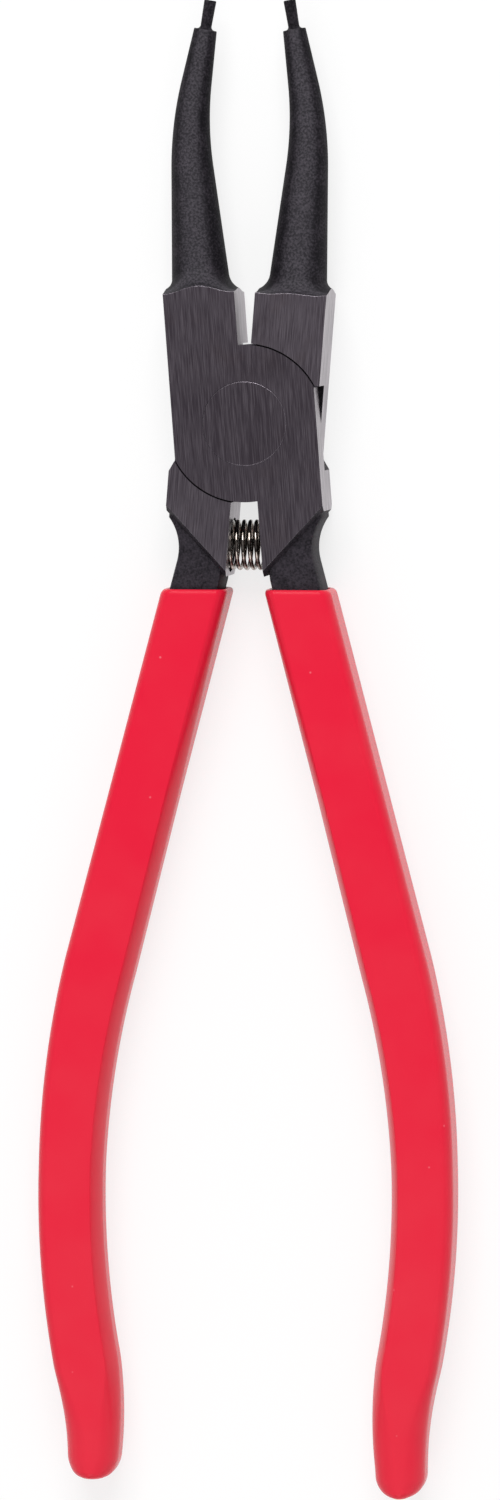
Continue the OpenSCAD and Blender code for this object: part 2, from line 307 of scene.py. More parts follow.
def join(thing: Object, how: Joining, other: Object) -> None:
    """Changes a solid by another one, which is used up.

    Args:
        thing: The solid that stays.
        how: What the other solid does to it.
        other: The solid that goes.
    """
    step = thing.modifiers.new(how.name, "BOOLEAN")
    step.operation = how.value
    step.solver = "EXACT"
    step.material_mode = "INDEX"
    step.object = other
    settle(thing)
    mesh = other.data
    bpy.data.objects.remove(other)
    bpy.data.meshes.remove(mesh)


def smooth(thing: Object, crease: float) -> None:
    """Shades a piece smooth up to a crease angle, with flat faces kept flat between their rounded edges."""
    thing.data.shade_smooth()
    thing.data.set_sharp_from_angle(angle=crease)
    step = thing.modifiers.new("weights", "WEIGHTED_NORMAL")
    step.keep_sharp = True
    settle(thing)


def keep_drawing(thing: Object, drawn_at: Callable[[Vector], Vector] = lambda co: co) -> None:
    """Stores each point's place on the closed drawing, so that a finish follows its own piece."""
    stored = thing.data.attributes.new(DRAWN, "FLOAT_VECTOR", "POINT")
    for point, item in zip(thing.data.vertices, stored.data):
        item.vector = drawn_at(point.co)


# Finishes


def linear(hex_colour: str) -> Colour:
    """Turns an sRGB colour such as "#A0B1C2" to linear red, green, blue and alpha."""
    parts = [int(hex_colour[i:i + 2], 16) / 255 for i in (1, 3, 5)]
    red, green, blue = (p / 12.92 if p <= 0.04045 else ((p + 0.055) / 1.055) ** 2.4 for p in parts)
    return red, green, blue, 1.0


def feed(node: Node, inputs: dict | tuple) -> None:
    """Links or sets a node's inputs.

    Args:
        node: The node.
        inputs: A socket to link or a value to set for each input, by its name or else in order.
    """
    for key, value in inputs.items() if isinstance(inputs, dict) else enumerate(inputs):
        if isinstance(value, NodeSocket):
            node.id_data.links.new(value, node.inputs[key])
        else:
            node.inputs[key].default_value = value


def add_node(
    tree: NodeTree, kind: str, inputs: dict | tuple = (), out: int | str = 0, **settings,
) -> NodeSocket | None:
    """Adds a node to a shader or geometry tree.

    Args:
        tree: The tree.
        kind: Blender's name for the node type.
        inputs: What goes into it, as feed takes it.
        out: Name or number of the output that is wanted.
        settings: Properties of the node.

    Returns:
        That output, or None if the node has no outputs.
    """
    node = tree.nodes.new(kind)
    for key, value in settings.items():
        setattr(node, key, value)
    feed(node, inputs)
    return node.outputs[out] if len(node.outputs) else None


class Grain(NamedTuple):
    """A noise pattern: its size in millimetres, the steps of finer detail in it and how strong those are."""

    mm: float
    detail: float
    rough: float = 0.5

    def over(self, place: NodeSocket) -> Inputs:
        """Returns the inputs of a noise node that lays the pattern over places in millimetres."""
        return {"Vector": place, "Scale": 1 / self.mm, "Detail": self.detail, "Roughness": self.rough}


class Finish:
    """What the finishes share: each paints the main shader of a material of its own."""

    name: str

    def paint(self, add: Adder) -> Inputs:
        """Returns the main shader's inputs, with patterns on the drawing's millimetres.

        Args:
            add: Adds a node to the material, as add_node does.
        """
        raise NotImplementedError

    def material(self) -> Material:
        """Returns the finish as a new material."""
        material = bpy.data.materials.new(self.name)
        material.use_nodes = True
        tree = material.node_tree
        feed(tree.nodes["Principled BSDF"], self.paint(partial(add_node, tree)))
        return material


@dataclass(frozen=True)
class BlackPhosphate(Finish):
    """Manganese phosphate on a forging: near black and matt, with a highlight of grey pebbles painted along
    the crests.
    """

    name: str = "black_phosphated_forged_steel"
    deep: str = "#131116"
    soft: str = "#38333A"
    # Colour of the highlight painted along the crests
    rubbed: str = "#625E65"
    pebbles: Grain = Grain(0.27, 2.0, 0.6)
    grit: Grain = Grain(0.14, 2.0)
    patches: Grain = Grain(2.2, 3.0)
    # Share of the patches in the tone and of the grit in the relief, beside the pebbles
    patch_share: float = 0.5
    grit_share: float = 0.4
    relief_mm: float = 0.05
    bump: float = 0.6
    # Radius of the jaw where the drawing's Y is zero, and how much of it goes with each unit of Y
    jaw_radius: float = 4.72
    jaw_taper: float = 0.0698
    # Where the highlight is painted on the crest, by height over the jaw's radius, where that ends on the
    # flaring root, and how the pebbles break it up
    crest: Limits = (0.74, 1.0, 0.0, 0.5)
    flare: Limits = (1.08, 1.4, 1.0, 0.25)
    grain: Limits = (0.36, 0.72, 0.35, 1.0)
    # How the coat's tone differs along the lever, from the tang to the jaw, and how it sets the colour
    lift: Limits = (-12.0, 12.0, 0.07, -0.1)
    shade: Limits = (0.58, 0.98, 0.0, 1.0)
    rough: Limits = (0.0, 1.0, 0.5, 0.75)
    shine: float = 0.13

    def paint(self, add: Adder) -> Inputs:
        """Returns the main shader's inputs."""
        place = add("ShaderNodeAttribute", out="Vector", attribute_name=DRAWN)
        patterns = (self.pebbles, self.grit, self.patches)
        pebble, grit, patch = (add(NOISE, pattern.over(place)) for pattern in patterns)
        drawn = add("ShaderNodeSeparateXYZ", (place,)).node.outputs
        radius = add(MATH, (drawn["Y"], -self.jaw_taper, self.jaw_radius), operation="MULTIPLY_ADD")
        height = add(MATH, (drawn["Z"],), operation="ABSOLUTE")
        reach = add(MATH, (height, radius), operation="DIVIDE")
        crest = add(RANGE, (reach, *self.crest), **SOFTLY)
        flare = add(RANGE, (reach, *self.flare), **SOFTLY)
        crest = add(MATH, (crest, flare), operation="MULTIPLY")
        # Painted highlight: the crest is painted lighter, broken up by the pebbles
        rub = add(MATH, (crest, add(RANGE, (pebble, *self.grain))), operation="MULTIPLY")
        cloud = add(MATH, (patch, self.patch_share, pebble), operation="MULTIPLY_ADD")
        cloud = add(MATH, (cloud, add(RANGE, (drawn["Y"], *self.lift))), operation="ADD")
        share = add(RANGE, (cloud, *self.shade))
        coat = add(MIX, {"Factor": share, "A": linear(self.deep), "B": linear(self.soft)}, **TINTS)
        relief = add(MATH, (grit, self.grit_share, pebble), operation="MULTIPLY_ADD")
        return {
            "Base Color": add(MIX, {"Factor": rub, "A": coat, "B": linear(self.rubbed)}, **TINTS),
            "Roughness": add(RANGE, (grit, *self.rough)),
            "Normal": add("ShaderNodeBump", {
                "Height": relief, "Strength": self.bump, "Distance": self.relief_mm * MM,
            }),
            "Specular IOR Level": self.shine,
        }


@dataclass(frozen=True)
class GroundSteel(Finish):
    """Bare steel off a surface grinder: fine lines along the lever, faint stains and a few nicks.

    Its outer edges get rounded shading normals and a thin painted highlight along them.
    """

    name: str
    dark: str = "#615862"
    light: str = "#958C96"
    stain: str = "#6B5347"
    # Colour of the nicks, and of the highlight painted along the edges
    nick: str = "#D8D4D8"
    # A grinder's lines are finer than this, and drawn coarser so that they show
    lines: Grain = Grain(0.12, 3.0, 0.65)
    hairs: Grain = Grain(0.06, 2.0)
    line_length_mm: float = 5.0
    hair_length_mm: float = 2.5
    stains: Grain = Grain(5.0, 4.0)
    nicks: Grain = Grain(0.4, 1.0)
    # Share of the lines in the relief, beside the hairs
    line_share: float = 0.5
    relief_mm: float = 0.008
    bump: float = 0.35
    rough: Limits = (0.0, 1.0, 0.24, 0.38)
    # Lightness by the distance from the pivot, and how much the lines add to it
    shade: Limits = (6.0, 15.0, 0.25, 0.36)
    streak: Limits = (0.3, 0.7, -0.55, 0.55)
    # How much lighter each lever's second face is, that only shows beside the other lever
    second_face: Limits = (-FACE_Z + 0.01, -FACE_Z + 0.1, 0.2, 0.0)
    stained: Limits = (0.56, 0.78, 0.0, 0.35)
    nicked: Limits = (0.84, 0.86, 0.0, 1.0)
    # Width of the rounded edges and of the highlight painted along them, the distances from the pivot between
    # which they set in, and how bright the painted highlight is
    wear_mm: float = 0.09
    wear_from_mm: float = 11.0
    wear_to_mm: float = 12.0
    bare: Limits = (0.99, 0.8, 0.0, 0.45)

    def paint(self, add: Adder) -> Inputs:
        """Returns the main shader's inputs."""
        place = add("ShaderNodeAttribute", out="Vector", attribute_name=DRAWN)
        drawn_out = []
        for pattern, length in ((self.lines, self.line_length_mm), (self.hairs, self.hair_length_mm)):
            scale = (1 / pattern.mm, 1 / length, 1 / pattern.mm)
            squeezed = add("ShaderNodeMapping", {"Vector": place, "Scale": scale})
            drawn_out.append(add(NOISE, pattern._replace(mm=1.0).over(squeezed)))
        lines, hairs = drawn_out
        stain, nicks = (add(NOISE, pattern.over(place)) for pattern in (self.stains, self.nicks))
        away = add("ShaderNodeVectorMath", (place,), "Value", operation="LENGTH")
        height = add("ShaderNodeSeparateXYZ", (place,), "Z")
        shade = add(RANGE, (away, *self.shade), **SOFTLY)
        shade = add(MATH, (shade, add(RANGE, (height, *self.second_face))), operation="ADD")
        tone = add(MATH, (shade, add(RANGE, (lines, *self.streak))), operation="ADD", use_clamp=True)
        colour = add(MIX, {"Factor": tone, "A": linear(self.dark), "B": linear(self.light)}, **TINTS)
        stained = add(MATH, (add(RANGE, (stain, *self.stained)), shade), operation="MULTIPLY")
        colour = add(MIX, {"Factor": stained, "A": colour, "B": linear(self.stain)}, **TINTS)
        wear = add(RANGE, (away, self.wear_from_mm, self.wear_to_mm, 0.0, self.wear_mm * MM))
        worn = add("ShaderNodeBevel", {"Radius": wear}, samples=4)
        flat = add("ShaderNodeNewGeometry", out="True Normal")
        level = add("ShaderNodeVectorMath", (worn, flat), "Value", operation="DOT_PRODUCT")
        nicked = add(RANGE, (nicks, *self.nicked))
        # Painted highlight: the colour turns pale where the rounded edge normal leaves the flat one, as it
        # does on the nicks
        bright = add(MATH, (nicked, add(RANGE, (level, *self.bare))), operation="MAXIMUM")
        relief = add(MATH, (lines, self.line_share, hairs), operation="MULTIPLY_ADD")
        return {
            "Base Color": add(MIX, {"Factor": bright, "A": colour, "B": linear(self.nick)}, **TINTS),
            "Roughness": add(RANGE, (hairs, *self.rough)),
            "Normal": add("ShaderNodeBump", {
                "Height": relief, "Strength": self.bump, "Distance": self.relief_mm * MM, "Normal": worn,
            }),
            "Metallic": 1.0,
        }


@dataclass(frozen=True)
class OiledLap(Finish):
    """Turned walls of the half-lap, painted a matt dark grey without shine for the shade in the narrow gap.
    """

    name: str = "oiled_lap_steel"
    # Painted shade of the narrow gap between the levers
    grey: str = "#57525A"
    rough: float = 0.9
    shine: float = 0.0

    def paint(self, add: Adder) -> Inputs:
        """Returns the main shader's inputs."""
        return {"Base Color": linear(self.grey), "Roughness": self.rough, "Specular IOR Level": self.shine}


@dataclass(frozen=True)
class SpringWire(Finish):
    """Hard-drawn spring wire, dark from its oil film with a straw tint and small bright glints."""

    name: str = "oiled_spring_steel_wire"
    dark: str = "#4C4541"
    straw: str = "#CDC3BA"
    film: Grain = Grain(0.9, 3.0)
    straw_share: Limits = (0.35, 0.7, 0.0, 1.0)
    rough: float = 0.1

    def paint(self, add: Adder) -> Inputs:
        """Returns the main shader's inputs."""
        place = add("ShaderNodeAttribute", out="Vector", attribute_name=DRAWN)
        share = add(RANGE, (add(NOISE, self.film.over(place)), *self.straw_share))
        colour = add(MIX, {"Factor": share, "A": linear(self.dark), "B": linear(self.straw)}, **TINTS)
        return {"Base Color": colour, "Roughness": self.rough, "Metallic": 1.0}


@dataclass(frozen=True)
class DippedPvc(Finish):
    """PVC plastisol dipped over the tang: saturated red, paler towards the closed end.

    It has a soft gloss, faint clouds and a few pale specks painted as tiny highlights.
    """

    name: str = "dipped_red_pvc"
    red: str = "#E8213D"
    pale_red: str = "#E83446"
    speck: str = "#FFB4BE"
    rough: float = 0.25
    ior: float = 1.19
    clouds: Grain = Grain(7.0, 2.0)
    # How the red turns paler with the distance from the pivot
    thick: Limits = (50.0, 125.0, -0.4, 0.4)
    # Mean distance between the specks, and the brightness of the highlight painted on each by the distance
    # from their middle
    speck_mm: float = 4.5
    specked: Limits = (0.0, 0.04, 0.45, 0.0)

    def paint(self, add: Adder) -> Inputs:
        """Returns the main shader's inputs."""
        place = add("ShaderNodeAttribute", out="Vector", attribute_name=DRAWN)
        cloud = add(NOISE, self.clouds.over(place))
        away = add("ShaderNodeVectorMath", (place,), "Value", operation="LENGTH")
        paler = add(MATH, (cloud, add(RANGE, (away, *self.thick))), operation="ADD", use_clamp=True)
        colour = add(MIX, {"Factor": paler, "A": linear(self.red), "B": linear(self.pale_red)}, **TINTS)
        # Painted highlights: a few small pale specks on the red
        cells = add("ShaderNodeTexVoronoi", {"Vector": place, "Scale": 1 / self.speck_mm}, "Distance")
        specked = add(RANGE, (cells, *self.specked))
        colour = add(MIX, {"Factor": specked, "A": colour, "B": linear(self.speck)}, **TINTS)
        return {"Base Color": colour, "Roughness": self.rough, "IOR": self.ior}


# Pieces


@dataclass
class Joint:
    """Sizes that both levers, the rivet and the spring share, in millimetres."""

    half_width: float = 8.7
    lap_radius: float = 9.45
    lap_arc_gap: float = 0.19
    lap_face_gap: float = 0.06
    horn_cut: float = 5.2
    horn_slant: float = 1.2
    jaw_face_x: float = -0.05
    rivet_radius: float = 3.5
    rivet_head_radius: float = 5.1
    rivet_head_depth: float = 1.6
    spring_arm: float = 14.85
    seat_x: float = 0.88
    seat_lip: float = 0.4
    seat_step: float = 0.4
    pocket_radius: float = 3.3
    pocket_depth: float = 2.2

    @property
    def seat_end(self) -> float:
        """Distance from the pivot to the lower end of the spring seat."""
        return self.spring_arm + self.pocket_radius + self.seat_lip

    def rivet_profile(self, gap: float, rim: float) -> list[Point]:
        """Returns the rivet's (radius, height) points, grown by a gap, with a broken rim on its heads."""
        shank = self.rivet_radius + gap
        flush = self.rivet_head_radius + gap
        foot = FACE_Z - self.rivet_head_depth
        upper = [(shank, foot), (flush, FACE_Z - rim), (flush - rim, FACE_Z)]
        return [(r, -height) for r, height in reversed(upper)] + upper


@dataclass
class Tang:
    """The forged handle: its middle line and its section, which lever and sleeve share, in millimetres."""

    joint: Joint
    half_thick: float = 3.9
    edges: Edges = Edges(inner=Edge(0.4, 2.6, 1.5), outer=Edge(0.4, 2.6), end=Edge(2.0, 2.6))
    # Distances before the end between which the rounding turns to that of the end
    ease_from: float = 13.0
    ease_to: float = 3.0
    corner_points: int = 14
    neck_width: float = 6.0
    mid_width: float = 6.7
    bow_width: float = 6.0
    end_width: float = 4.4
    neck_at: float = 12.9
    neck_radius: float = 6.3
    neck_ledge: float = 0.15
    splay: float = radians(10)
    bow_start: float = 67.0
    bow_radius: float = 112.0
    bow_angle: float = radians(25)
    tail_radius: float = 50.0
    tail_angle: float = radians(12.5)
    tail_length: float = 1.8
    path: Path = field(init=False)
    widths: list[Point] = field(init=False)
    neck_from: float = field(init=False)
    neck_end: float = field(init=False)

    def __post_init__(self) -> None:
        """Works out the middle line, which passes the foot of the spring seat, and the widths along it."""
        joint = self.joint
        top = self.top
        seat_mid = joint.seat_x + joint.seat_step + self.neck_width / 2 / cos(self.splay)
        start_x = seat_mid - (joint.seat_end - top) * tan(self.splay)
        straight = (self.bow_start - top) / cos(self.splay)
        bow = self.bow_radius * self.bow_angle
        self.path = Path(Pose(start_x, -top, pi - self.splay), (
            (straight, 0),
            (bow, self.bow_angle),
            (self.tail_radius * self.tail_angle, -self.tail_angle),
            (self.tail_length, 0),
        ))
        self.widths = [
            (0, self.neck_width),
            (straight, self.mid_width),
            (straight + bow / 2, self.bow_width),
            (straight + bow, self.bow_width),
            (self.path.length, self.end_width),
        ]
        self.neck_from = (self.neck_at - top) / cos(self.splay)
        rise = self.side_out(self.neck_from)
        self.neck_end = self.neck_from + sqrt(rise * (2 * self.neck_radius - rise))

    @property
    def top(self) -> float:
        """Distance from the pivot to the start of the tang, inside the head."""
        return self.joint.lap_radius + self.joint.lap_arc_gap + OVER

    def half_width(self, s: float) -> float:
        """Half the width at length s."""
        for (a, low), (b, high) in zip(self.widths, self.widths[1:]):
            if s <= b:
                return (low + (high - low) * (s - a) / (b - a)) / 2
        return self.widths[-1][1] / 2

    def side_out(self, s: float) -> float:
        """Distance at length s from the tang's outer side to the ledge below the ground side."""
        ledge = self.joint.half_width - self.neck_ledge
        return (ledge - self.path.at(s).x) / cos(self.splay) - self.half_width(s)

    def section(self, s: float, skin: float = 0, lid: float = 0, edges: Edges | None = None) -> list[Point]:
        """Returns the section at length s, with the hollow of the neck on its outer side.

        Args:
            s: Length along the tang.
            skin: How far the section is grown across.
            lid: How far it is grown on its two flat faces.
            edges: Its rounding, where that differs from the tang's own.
        """
        half = self.half_width(s)
        inner, outer = half, half
        if s <= self.neck_from:
            outer += self.side_out(s)
        elif s < self.neck_end:
            outer += self.neck_radius - sqrt(self.neck_radius ** 2 - (self.neck_end - s) ** 2)
        if s < self.widths[1][0]:
            seat = self.joint.seat_x + self.joint.seat_step
            inner = min(half, (self.path.at(s).x - seat) / cos(self.splay))
        edges = edges or self.edges
        share = eased((self.ease_from - self.path.length + s) / (self.ease_from - self.ease_to))
        both = [edge.towards(edges.end, share) for edge in (edges.inner, edges.outer)]
        return round_box(-outer - skin, inner + skin, self.half_thick + lid, both, self.corner_points)


@dataclass
class Jaw:
    """Round tapered jaw that grows out of the head in a hollow and ends in a tip pin, in millimetres.

    The hollow differs round the jaw, so its sizes are given at the inner side, front, outer side and back.
    """

    root_y: float = 20.2
    hollow_below: tuple[float, ...] = (2.0, 0.0, 2.3, 1.8)
    hollow_radius: tuple[float, ...] = (2.2, 4.4, 1.1, 2.8)
    hollow_reach: float = 8.0
    # Drop from the hollow's lowest point to the plain head, and rise from the root to the plain jaw
    head_drop: float = 0.25
    shank_rise: float = 0.5
    root_radius: float = 3.31
    end_radius: float = 1.38
    straight: float = 10.8
    bend_radius: float = 42.0
    bend: float = radians(14)
    nose: float = 6.6
    pin_foot_radius: float = 0.67
    pin_end_radius: float = 0.73
    pin_reach: float = 3.55
    pin_fillet: float = 0.45
    pin_chamfer: float = 0.08
    pin_radius: float = 0.7
    pin_gap: float = 0.4
    shoulder_round: float = 0.1
    sides: int = 72
    hollow_steps: int = 16
    shank_steps: int = 60
    shoulder_steps: int = 3
    fillet_steps: int = 8

    @property
    def axis_x(self) -> float:
        """Distance of the straight part from the middle plane, which leaves the gap between the pins."""
        return (
            self.pin_gap / 2 + self.pin_radius * cos(self.bend)
            + (self.nose + self.pin_reach) * sin(self.bend)
            + self.bend_radius * (1 - cos(self.bend))
        )

    @property
    def head_top(self) -> float:
        """Distance from the pivot to the level below which the head is a plain block."""
        return self.root_y - self.head_drop - max(map(sum, zip(self.hollow_below, self.hollow_radius)))

    @property
    def path(self) -> Path:
        """The jaw's middle line from its root."""
        return Path(Pose(-self.axis_x, self.root_y, 0), (
            (self.straight, 0),
            (self.bend_radius * self.bend, self.bend),
            (self.nose, 0),
        ))

    def radius(self, s: float) -> float:
        """Radius of the jaw at length s from its root."""
        return self.root_radius + (self.end_radius - self.root_radius) * s / self.path.length

    def hollow(self, turn: float, least: float = 0.0) -> list[Vector]:
        """Returns a ring of the hollow round the root.

        Args:
            turn: Angle by which the hollow has turned outwards, in radians.
            least: Radius to which the ring is run out.
        """
        points = []
        for across, up in disc(1.0, self.sides):
            sides = (0 if across > 0 else 2, 1 if up > 0 else 3)
            below, fillet = (
                across ** 2 * values[sides[0]] + up ** 2 * values[sides[1]]
                for values in (self.hollow_below, self.hollow_radius)
            )
            r = max(least, self.radius(-below) + fillet * (1 - cos(turn)))
            y = self.root_y - below - fillet * sin(turn)
            points.append(Vector((r * across - self.axis_x, y, r * up)))
        return points

    def profile(self) -> list[Point]:
        """Returns (length, radius) from above the hollow to the end of the pin."""
        length = self.path.length
        rim, fillet = self.shoulder_round, self.pin_fillet
        shank = [(s, self.radius(s)) for s in spread(self.shank_rise, length - rim, self.shank_steps)]
        shoulder = [
            (length - rim * (1 - sin(a)), self.end_radius - rim * (1 - cos(a)))
            for a in spread(0, pi / 2, self.shoulder_steps)[1:]
        ]
        root = [
            (length + fillet * (1 - cos(a)), self.pin_foot_radius + fillet * (1 - sin(a)))
            for a in spread(0, pi / 2, self.fillet_steps)
        ]
        end = length + self.pin_reach
        pin = [
            (end - self.pin_chamfer, self.pin_end_radius),
            (end, self.pin_end_radius - self.pin_chamfer),
        ]
        return shank + shoulder + root + pin

    def build(self) -> Object:
        """Returns the jaw as a solid of rings, from inside the head to the end of the pin."""
        path = self.path
        sunk = path.at(self.head_top - OVER - self.root_y)
        foot = [ring(sunk, disc(self.hollow_reach, self.sides)), self.hollow(pi / 2, self.hollow_reach)]
        hollow = [self.hollow(turn) for turn in spread(pi / 2, 0, self.hollow_steps)]
        shank = [ring(path.at(s), disc(r, self.sides)) for s, r in self.profile()]
        return solid("jaw", foot + hollow + shank)


@dataclass
class Lever:
    """One forged lever with its ground head, jaw and tang."""

    side: Side
    joint: Joint
    tang: Tang
    jaw: Jaw = field(default_factory=Jaw)
    rivet_gap: float = 0.015
    ground_end: float = 11.2
    ground_step: float = 0.5
    smooth_angle: float = radians(40)
    arc_steps: int = 40
    neck_steps: int = 14
    tang_steps: int = 120
    hole_sides: int = 128
    pocket_sides: int = 64
    # Points nearer than this are welded, and faces nearer than these to a plane or the lap's arcs lie on them
    weld: float = 0.002
    near_plane: float = 0.01
    near_arc: float = 0.05
    # Parts of a normal along an axis: at least this for a flat face and a horn, and at most this for a wall
    flat_from: float = 0.99
    horn_from: float = 0.9
    wall_to: float = 0.1

    @property
    def slope(self) -> float:
        """Slant of the ground face's lower end."""
        joint = self.joint
        return atan2(joint.seat_end - self.ground_end, joint.half_width - joint.seat_x)

    def outlines(self) -> tuple[list[Point], list[Point], list[Point]]:
        """Returns the half-lap plate with both shoulders, then the jaw's and the handle's shoulder alone.

        The two that stand alone are hollowed round the other lever's plate.
        """
        joint, steps = self.joint, self.arc_steps
        side, radius = joint.half_width, joint.lap_radius
        hollow = radius + joint.lap_arc_gap
        wide, horn = acos(side / radius), asin(joint.horn_cut / hollow)
        face, hollow_face = (asin(joint.jaw_face_x / r) for r in (radius, hollow))
        seat, hollow_seat = (asin(joint.seat_x / r) for r in (radius, hollow))
        crown = [(joint.jaw_face_x, self.jaw.head_top), (-side, self.jaw.head_top)]
        corners = [(joint.seat_x, -joint.seat_end), (side, -self.ground_end)]
        plate = [
            *crown, *arc(radius, pi + wide, 1.5 * pi + seat, steps),
            *corners, *arc(radius, wide, pi / 2 - face, steps),
        ]
        jaw_shoulder = [*crown, (-side, joint.horn_cut), *arc(hollow, pi - horn, pi / 2 - hollow_face, steps)]
        handle_shoulder = [
            (side, -joint.horn_cut - joint.horn_slant),
            *arc(hollow, -horn, hollow_seat - pi / 2, steps), *corners,
        ]
        return plate, jaw_shoulder, handle_shoulder

    def step_cutter(self, up: int) -> Object:
        """Returns the block that steps one face of the handle shoulder down to the tang.

        Args:
            up: 1 for the upper face and -1 for the lower one.
        """
        joint = self.joint
        # Far enough to pass the whole shoulder
        run = 4 * joint.half_width
        fall = atan2(FACE_Z - self.tang.half_thick, self.ground_step)
        edge = self.ground_step / cos(self.slope) - joint.seat_end
        block = prism("step", [(-run, -run), (run, -run), (run, 0), (-run, 0)], 0, run)
        place = (
            Matrix.Translation((joint.seat_x, edge, FACE_Z))
            @ Matrix.Rotation(self.slope, 4, "Z")
            @ Matrix.Rotation(fall, 4, "X")
        )
        block.data.transform(Matrix.Diagonal((1, 1, up, 1)) @ place)
        if up < 0:
            block.data.flip_normals()
        return block

    def head(self) -> Object:
        """Returns the head with the jaw grown out of it."""
        joint, jaw = self.joint, self.jaw
        lap = joint.lap_face_gap / 2
        low = jaw.head_top - OVER / 2
        high = jaw.root_y + jaw.path.length + jaw.pin_reach + OVER
        out, face = -joint.half_width, joint.jaw_face_x
        upper = jaw.build()
        block = prism("block", [(out, low), (face, low), (face, high), (out, high)], -FACE_Z, FACE_Z)
        join(upper, Joining.TRIM, block)
        plate, *shoulders = self.outlines()
        body = prism("plate", plate, lap, FACE_Z)
        for shoulder in shoulders:
            join(body, Joining.ADD, prism("shoulder", shoulder, -FACE_Z, lap))
        join(body, Joining.ADD, upper)
        for up in (1, -1):
            join(body, Joining.CUT, self.step_cutter(up))
        profile = joint.rivet_profile(self.rivet_gap, 0)
        profile = [(profile[0][0], -FACE_Z - OVER), *profile, (profile[-1][0], FACE_Z + OVER)]
        join(body, Joining.CUT, turned("hole", profile, Matrix.Identity(4), self.hole_sides))
        return body

    def skin_of(self, normal: Vector, centre: Vector) -> Skin:
        """Returns the surface that a face of the head belongs to."""
        joint, near = self.joint, self.near_plane
        if abs(normal.z) > self.flat_from and abs(centre.z) > FACE_Z - near:
            return Skin.GROUND_FACE
        if centre.y > self.jaw.root_y or abs(normal.z) > self.wall_to:
            return Skin.FORGED
        flat_sides = (joint.half_width, -joint.half_width, joint.jaw_face_x, joint.seat_x)
        horn = normal.x > self.horn_from and 0 < -centre.y - joint.horn_cut < joint.horn_slant
        if horn or any(abs(centre.x - x) < near for x in flat_sides):
            return Skin.GROUND_SIDE
        rise = centre.xy.length - joint.lap_radius
        on_arc = -self.near_arc < rise < joint.lap_arc_gap + self.near_arc
        return Skin.LAP_WALL if on_arc else Skin.FORGED

    def sort_faces(self, body: Object) -> None:
        """Clears the head of slivers and sorts its faces by surface."""
        shape = bmesh.new()
        shape.from_mesh(body.data)
        bmesh.ops.remove_doubles(shape, verts=shape.verts, dist=self.weld)
        bmesh.ops.dissolve_degenerate(shape, edges=shape.edges, dist=self.weld)
        shape.normal_update()
        for face in shape.faces:
            face.material_index = self.skin_of(face.normal, face.calc_center_median()).value
        shape.to_mesh(body.data)
        shape.free()

    def build(self, name: str, finishes: Sequence[Material]) -> Object:
        """Returns the finished lever in the frame.

        Args:
            name: Name of the piece.
            finishes: One material for each Skin, in order.
        """
        body = self.head()
        for finish in finishes:
            body.data.materials.append(finish)
        self.sort_faces(body)
        joint, tang = self.joint, self.tang
        neck = [0.0, *spread(tang.neck_from, tang.neck_end, self.neck_steps)]
        stations = neck + spread(tang.neck_end, tang.path.length, self.tang_steps)[1:]
        handle = solid("tang", [ring(tang.path.at(s), tang.section(s)) for s in stations])
        join(body, Joining.ADD, handle)
        across = Matrix.Translation((joint.seat_x, -joint.spring_arm, 0)) @ Matrix.Rotation(pi / 2, 4, "Y")
        pocket = [(joint.pocket_radius, -OVER), (joint.pocket_radius, joint.pocket_depth)]
        join(body, Joining.CUT, turned("pocket", pocket, across, self.pocket_sides))
        keep_drawing(body)
        body.data.transform(self.side.placement())
        body.name = body.data.name = name
        smooth(body, self.smooth_angle)
        return body


@dataclass
class Rivet:
    """Flush rivet, set in the countersinks and ground level with the plates."""

    joint: Joint
    rim: float = 0.08
    proud: float = 0.04
    sides: int = 128
    smooth_angle: float = radians(30)

    def build(self, name: str, finish: Material) -> Object:
        """Returns the rivet, its two ends ground in line with the plates round them."""
        profile = [(r, z + copysign(self.proud, z)) for r, z in self.joint.rivet_profile(0, self.rim)]
        piece = turned(name, profile, Matrix.Identity(4), self.sides)
        piece.data.materials.append(finish)
        piece.data.transform(Matrix.Scale(MM, 4) @ Matrix.Translation((0, 0, FACE_Z)))
        front, rear = (side.placement().inverted() for side in (Side.FRONT, Side.REAR))
        keep_drawing(piece, lambda co: (front if co.z > FACE_Z * MM else rear) @ co)
        smooth(piece, self.smooth_angle)
        return piece


